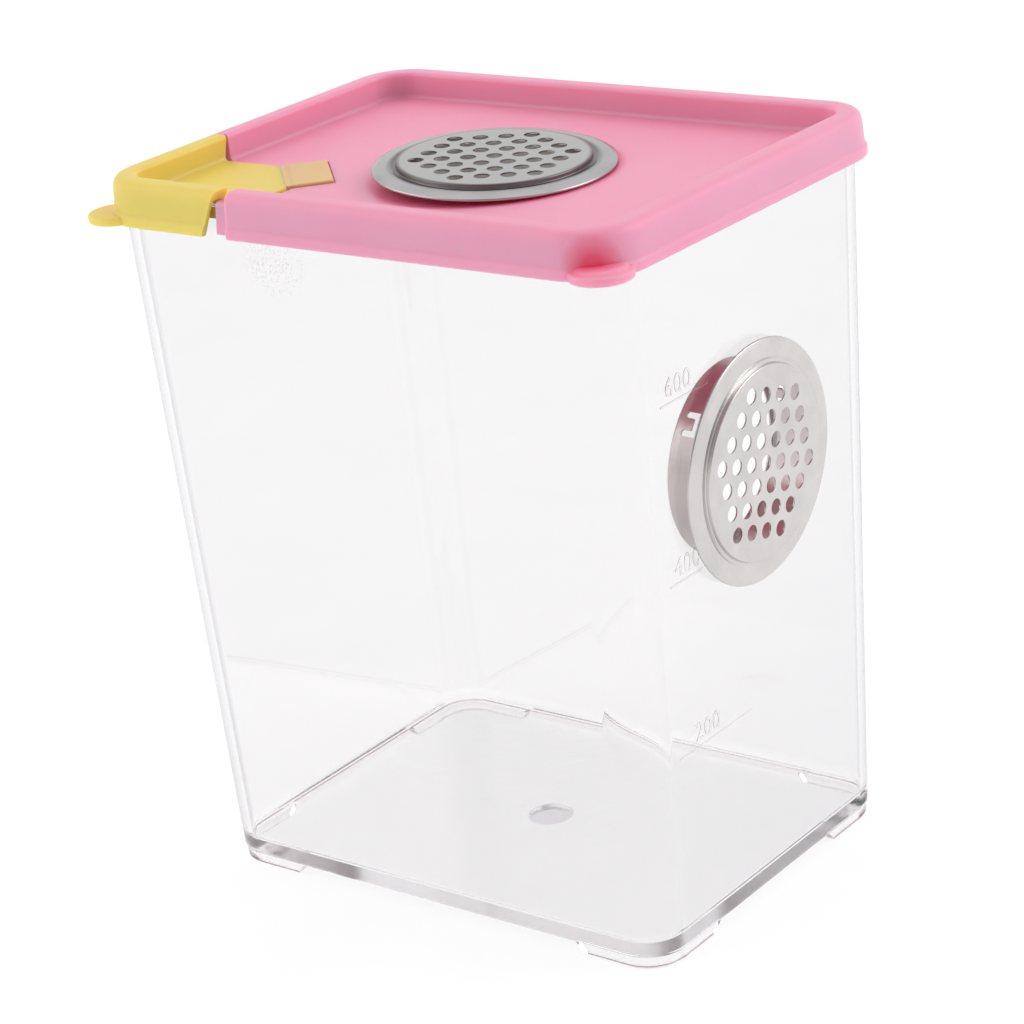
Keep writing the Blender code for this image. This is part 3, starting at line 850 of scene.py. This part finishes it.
def build_lid(slot):
    lid = lid_shell("lid_moulding", PANEL_TOP, PANEL_TOP - PANEL_T, PLUG_BOTTOM)
    low, high = PLUG_BOTTOM - PAST, LID_TOP + PAST
    opening = prism("opening", spout_outline(GAP, GAP), low, high)
    rim_y = -(LID_HALF_Y - RECESS) + 0.3 * MM
    corners = [(-FAR, rim_y), (RIM_CUT_X, rim_y), (RIM_CUT_X, -FAR), (-FAR, -FAR)]
    rim_gap = prism("gap", corners, low, high)
    combine(lid, [opening, rim_gap], "DIFFERENCE")
    clean(lid)
    finished(lid, 0.35 * MM, bevel_angle=50)
    combine(lid, [ledge(), lug(), corner_tab(1, -1, stepped=True)], "UNION")
    pocket = lofted(
        "pocket",
        in_crease(
            -CREASE_CLEAR,
            CREASE_CLEAR + PAD_WIDTH + GAP,
            PAD_LENGTH / 2 + GAP,
            FLAP_TOP - FLAP_FLOOR_T - GAP,
            LID_TOP,
        ),
    )
    combine(lid, [pocket, vent_hole(lid_vent_place())], "DIFFERENCE")
    put(finished(lid), slot)
    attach(lid, "lid")
    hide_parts("lid")


def build_flap(slot):
    floor_bottom = FLAP_TOP - FLAP_FLOOR_T
    flap = lid_shell("spout_flap_moulding", FLAP_TOP, floor_bottom, floor_bottom - 0.05 * MM)
    rings = []
    for z in (PLUG_BOTTOM - PAST, LID_TOP + PAST):
        below = LID_TOP - z
        jut = FLAP_END_JUT - FLAP_END_SLOPE * below
        outline = spout_outline(0.0, -CREASE_CLEAR, SEAM_SLOPE * below, jut)
        rings.append([(x, y, z) for x, y in outline])
    combine(flap, [lofted("keep", rings)], "INTERSECT")
    clean(flap)
    finished(flap, 0.25 * MM, bevel_angle=50)
    combine(flap, [corner_tab(-1, -1, stepped=False)], "UNION")
    put(finished(flap), slot)
    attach(flap, "spout_flap")
    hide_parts("spout_flap")


def build_hinge(slot):
    """The pad in its pocket, and the web between it and the flap, thinned along its crease."""
    half = PAD_LENGTH / 2
    low = FLAP_TOP - FLAP_FLOOR_T
    bar = in_crease(CREASE_CLEAR, CREASE_CLEAR + PAD_WIDTH, half, low, FLAP_TOP)
    pad = lofted("hinge_pad_moulding", bar)
    put(finished(pad, 0.3 * MM), slot)
    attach(pad, "lid")
    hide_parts("hinge_pad")

    reach = CREASE_CLEAR + WEB_ANCHOR
    sections = []
    for step in range(WEB_STEPS + 1):
        out = reach * (2 * step / WEB_STEPS - 1)
        groove = WEB_GROOVE * (1 - min(1.0, abs(out) / CREASE_CLEAR) ** 2)
        top = FLAP_TOP - WEB_SUNK - groove
        lower, upper = in_crease(out, out, half - 0.1 * MM, top - WEB_T, top)
        sections.append([lower[0], lower[2], upper[2], upper[0]])
    web = finished(lofted("living_hinge_web", sections))
    put(web, slot)
    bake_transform(web)
    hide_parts("living_hinge")


# ---------------------------------------------------------------- vents


def lid_vent_place():
    low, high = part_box("lid_vent_face")
    middle = (low + high) / 2 - MIDDLE
    return Matrix.Translation((middle.x + LID_VENT_SHIFT, middle.y - LID_VENT_SHIFT, PANEL_TOP))


def lid_vent_seat():
    """Where the lid vent sits: tilted in its hole, with its +X edge down in the soft panel."""
    axis = Vector((-0.06, 1.0, 0.0)).normalized()
    kept_up = 0.85  # of the rise that would keep its whole rim above the panel
    lift = Matrix.Translation((0, 0, kept_up * VENT_R * math.sin(LID_VENT_TILT)))
    return lid_vent_place() @ lift @ Matrix.Rotation(LID_VENT_TILT, 4, axis)


def wall_vent_place():
    low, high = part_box("wall_vent_face")
    middle = (low + high) / 2 - MIDDLE
    wall_x = BASE_HALF_X + (middle.z - FOOT_H) * math.tan(DRAFT)
    lean = Matrix.Rotation(math.pi / 2 + DRAFT, 4, "Y")
    return Matrix.Translation((wall_x, middle.y, middle.z)) @ lean


def wall_vent_seat():
    """Where the wall vent sits: flat to the wall and a little proud of it."""
    return wall_vent_place() @ Matrix.Translation((0, 0, WALL_VENT_STAND))


def perforations(turn):
    """A hexagon of holes, PERFORATION_RINGS deep round the middle one."""
    work = bmesh.new()
    rings = range(-PERFORATION_RINGS, PERFORATION_RINGS + 1)
    for row in rings:
        for column in rings:
            if abs(row + column) > PERFORATION_RINGS:
                continue
            spot = Vector((column + row / 2, row * math.sqrt(3) / 2)) * PITCH
            spot.rotate(Matrix.Rotation(turn, 2))
            bmesh.ops.create_cone(
                work,
                cap_ends=True,
                segments=HOLE_STEPS,
                radius1=PERFORATION_R,
                radius2=PERFORATION_R,
                depth=4 * SHEET,
                matrix=Matrix.Translation((spot.x, spot.y, VENT_TOP - SHEET / 2)),
            )
    mesh = bpy.data.meshes.new("perforations")
    work.to_mesh(mesh)
    work.free()
    return new_object("perforations", mesh)


def build_face(name, node, body, seat, turn, slot):
    """A pressed disc: rolled edge, flat band, shallow groove, and a step up to the perforated middle."""
    middle = 0.45 * STEP_R
    under = VENT_TOP - PLATEAU_T
    profile = [
        (0, middle, VENT_TOP),
        (0, STEP_R - 0.4 * MM, VENT_TOP),
        (0.25 * MM, STEP_R, VENT_TOP - 0.04 * MM),
        (0.2 * MM, STEP_R + 0.14 * MM, 1.08 * MM),
        (0.3 * MM, STEP_R + 0.7 * MM, 1.06 * MM),
        (0.5 * MM, STEP_R + 1.2 * MM, 1.26 * MM),
        (1.2 * MM, VENT_R - 0.9 * MM, 1.08 * MM),
        (0.3 * MM, VENT_R, 0.72 * MM),
        (0.2 * MM, VENT_R, GAP),
        (0.2 * MM, VENT_R - 0.45 * MM, GAP),
        (0.5 * MM, VENT_R - 0.8 * MM, 0.6 * MM),
        (0.5 * MM, STEP_R + 1.2 * MM, 0.78 * MM),
        (0.3 * MM, STEP_R + 0.5 * MM, 0.6 * MM),
        (0.3 * MM, STEP_R - 0.3 * MM, under),
        (0, STEP_R - 1.5 * MM, under),
        (0, middle, under),
    ]
    face = turned(name, [tuple(point) for point in filleted(profile)], closed=False)
    combine(face, [perforations(turn)], "DIFFERENCE")
    clean(face)
    finished(face, 0.07 * MM, bevel_angle=60)
    put(face, slot, seat)
    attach(face, body)
    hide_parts(node)


def snap_slot(angle):
    """A bracket-shaped slot that frees a tongue in the barrel: a bar with an arm down from each end."""
    half = 2.05 * MM
    arm = 1.05 * MM
    high = -2.8 * MM
    notch = high - 1.3 * MM
    tip = -5.8 * MM
    bend = 0.25 * MM
    round_end = 0.5 * MM
    outline = filleted(
        [
            (bend, -half, high),
            (bend, half, high),
            (round_end, half, tip),
            (round_end, half - arm, tip),
            (bend, half - arm, notch),
            (bend, arm - half, notch),
            (round_end, arm - half, tip),
            (round_end, -half, tip),
        ],
        closed=True,
        steps=4,
    )
    turn = Matrix.Rotation(angle, 4, "Z")
    rings = []
    for radius in (BARREL_R - 1.5 * MM, BARREL_R + 1.5 * MM):
        rings.append([turn @ Vector((radius, across, height)) for across, height in outline])
    return lofted("slot", rings)


def build_barrel(name, node, body, seat, turn, slot):
    """The ring behind the face: a thin wall with a turned-in end and spring tongues cut in it."""
    inner = BARREL_R - BARREL_T
    lip = inner - 0.9 * MM
    end = -BARREL_DEPTH
    profile = filleted(
        [
            (0.15 * MM, lip, end),
            (0.7 * MM, BARREL_R, end),
            (0.1 * MM, BARREL_R, BARREL_TOP),
            (0.1 * MM, inner, BARREL_TOP),
            (0.4 * MM, inner, end + BARREL_T),
            (0.1 * MM, lip, end + BARREL_T),
        ],
        closed=True,
    )
    barrel = turned(name, [tuple(point) for point in profile], closed=True)
    slots = [snap_slot(turn + math.tau * number / SNAP_TABS) for number in range(SNAP_TABS)]
    combine(barrel, slots, "DIFFERENCE")
    clean(barrel)
    finished(barrel)
    put(barrel, slot, seat)
    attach(barrel, body)
    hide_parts(node)


# ---------------------------------------------------------------- stage, light and camera


def build_stage():
    """A pale card under the feet that glows a little, so that it stays white beside the tub."""
    signs = ((-1, -1), (1, -1), (1, 1), (-1, 1))
    corners = [(x * CARD_HALF, y * CARD_HALF, -0.1 * MM) for x, y in signs]
    floor = mesh_object("floor", corners, [(0, 1, 2, 3)])
    nodes = Nodes("floor_card")
    nodes.set(Specular_IOR_Level=0.0, Emission_Color=(1, 1, 1, 1), Emission_Strength=CARD_GLOW)
    speck = nodes.noise(40.0, detail=2.0)
    color = nodes.ramp(speck, [(0.3, 0.19), (0.7, 0.21)])
    rough = nodes.range(speck, 0.8, 0.9)
    floor.data.materials.append(nodes.finish(color=color, roughness=rough))


def build_world():
    """A pale studio: bright at the horizon and overhead, dimmer between them and over the camera."""
    world = bpy.data.worlds.new("studio")
    bpy.context.scene.world = world
    world.use_nodes = True
    tree = world.node_tree
    direction = tree.nodes.new("ShaderNodeTexCoord").outputs["Generated"]
    split = tree.nodes.new("ShaderNodeSeparateXYZ")
    tree.links.new(direction, split.inputs[0])
    height = world_ramp(tree, split.outputs["Z"], SKY_BY_HEIGHT)
    towards = tree.nodes.new("ShaderNodeVectorMath")
    towards.operation = "DOT_PRODUCT"
    towards.inputs[1].default_value = OVER_CAMERA
    tree.links.new(direction, towards.inputs[0])
    front = world_ramp(tree, towards.outputs["Value"], SKY_OVER_CAMERA)
    product = tree.nodes.new("ShaderNodeVectorMath")
    product.operation = "MULTIPLY"
    tree.links.new(height, product.inputs[0])
    tree.links.new(front, product.inputs[1])
    tree.links.new(product.outputs["Vector"], tree.nodes["Background"].inputs["Color"])


def world_ramp(tree, source, stops):
    """A grey for each value of source, from stops of (value, grey)."""
    node = tree.nodes.new("ShaderNodeValToRGB")
    while len(node.color_ramp.elements) < len(stops):
        node.color_ramp.elements.new(0.5)
    for element, (position, grey) in zip(node.color_ramp.elements, stops):
        element.position = position
        element.color = (grey, grey, grey, 1)
    tree.links.new(source, node.inputs["Fac"])
    return node.outputs["Color"]


def area_light(name, spot, size, power):
    lamp = bpy.data.lights.new(name, "AREA")
    lamp.shape = "SQUARE"
    lamp.size = size
    lamp.energy = power
    made = new_object(name, lamp)
    made.location = spot
    target = Vector((0, 0, LID_TOP / 2))
    made.rotation_euler = (target - Vector(spot)).to_track_quat("-Z", "Y").to_euler()


def build_camera():
    data = bpy.data.cameras.new("camera")
    data.sensor_width = 36.0
    data.lens = CAMERA_LENS_MM
    data.shift_x = CAMERA_SHIFT_X
    data.shift_y = CAMERA_SHIFT_Y
    data.clip_start = 0.01
    camera = new_object("camera", data)
    turn = Matrix.Rotation(CAMERA_AZIMUTH, 4, "Z")
    turn = turn @ Matrix.Rotation(math.pi / 2 - CAMERA_ELEVATION, 4, "X")
    turn = turn @ Matrix.Rotation(CAMERA_ROLL, 4, "Z")
    camera.matrix_world = Matrix.Translation(CAMERA_SPOT) @ turn
    bpy.context.scene.camera = camera


def build_studio():
    build_stage()
    build_world()
    area_light("right softbox", (0.8, 0.6, 0.7), 0.7, 3.6)
    area_light("left softbox", (-0.8, -0.6, 0.7), 1.0, 2.6)
    build_camera()
    scene = bpy.context.scene
    scene.view_settings.view_transform = "Standard"
    scene.cycles.max_bounces = BOUNCES
    scene.cycles.transmission_bounces = BOUNCES
    scene.cycles.glossy_bounces = BOUNCES


def main():
    clear = clear_plastic()
    # painted shade: a deep red spot in the crevice above the lid's corner tab, at the front right
    corner = Vector((LID_HALF_X - 5.0 * MM, -(LID_HALF_Y - 3.4 * MM), SKIRT_BOTTOM + 2.5 * MM))
    # painted shadow: a deep pink ring round the lid vent's flange, where the flange shades the panel
    low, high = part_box("lid_vent_face")
    middle = (low + high) / 2
    vent_shadow_middle = Vector((middle.x + LID_VENT_SHIFT, middle.y - LID_VENT_SHIFT, PANEL_TOP))
    pink = soft_plastic(
        "pink_plastic",
        base=(0.94, 0.365, 0.52),
        deep=(0.92, 0.335, 0.49),
        glow=(1.0, 0.35, 0.45),
        painted_shades=(
            (MIDDLE + corner, 1.6 * MM, 4.8 * MM, (0.90, 0.08, 0.17)),
            (vent_shadow_middle, VENT_R + 0.2 * MM, VENT_R + 1.6 * MM, (0.90, 0.16, 0.32)),
        ),
    )
    yellow = soft_plastic(
        "yellow_plastic",
        base=(0.86, 0.65, 0.13),
        deep=(0.83, 0.62, 0.11),
        glow=(1.0, 0.8, 0.2),
    )
    thin = soft_plastic(
        "thin_yellow_plastic",
        base=(0.79, 0.53, 0.23),
        deep=(0.77, 0.51, 0.21),
        glow=(1.0, 0.7, 0.3),
        reach=0.5 * MM,
    )
    # the middle of the lid vent's face, round which a ring of painted shade lies beside its step
    groove = MIDDLE + lid_vent_seat() @ Vector((0, 0, VENT_TOP))
    steel = stainless_steel("stainless_steel", (0.67, 0.65, 0.64), 0.27)
    # painted shade: the lid vent is the wall vent's steel, given a darker tone for the darker surroundings
    # that it reflects
    shaded_lid_steel = stainless_steel("shaded_lid_vent_steel", (0.51, 0.50, 0.50), 0.24, groove)
    # painted reflection: the ring's steel is tinted warm pink, for the pink that it reflects
    ring_steel = stainless_steel("ring_steel", (0.68, 0.62, 0.61), 0.30)
    shaded_steel = stainless_steel("shaded_ring_steel", (0.30, 0.27, 0.26), 0.3)
    lid_seat, wall_seat = lid_vent_seat(), wall_vent_seat()
    build_tub(clear)
    build_capacity_marks(clear)
    build_lid(pink)
    build_flap(yellow)
    build_hinge(thin)
    build_face("lid_vent_disc", "lid_vent_face", "lid", lid_seat, LID_VENT_TURN, shaded_lid_steel)
    build_barrel("lid_vent_ring", "lid_vent_barrel", "lid", lid_seat, LID_TAB_TURN, shaded_steel)
    build_face("wall_vent_disc", "wall_vent_face", "container", wall_seat, WALL_VENT_TURN, steel)
    build_barrel("wall_vent_ring", "wall_vent_barrel", "container", wall_seat, WALL_TAB_TURN, ring_steel)
    build_studio()


main()
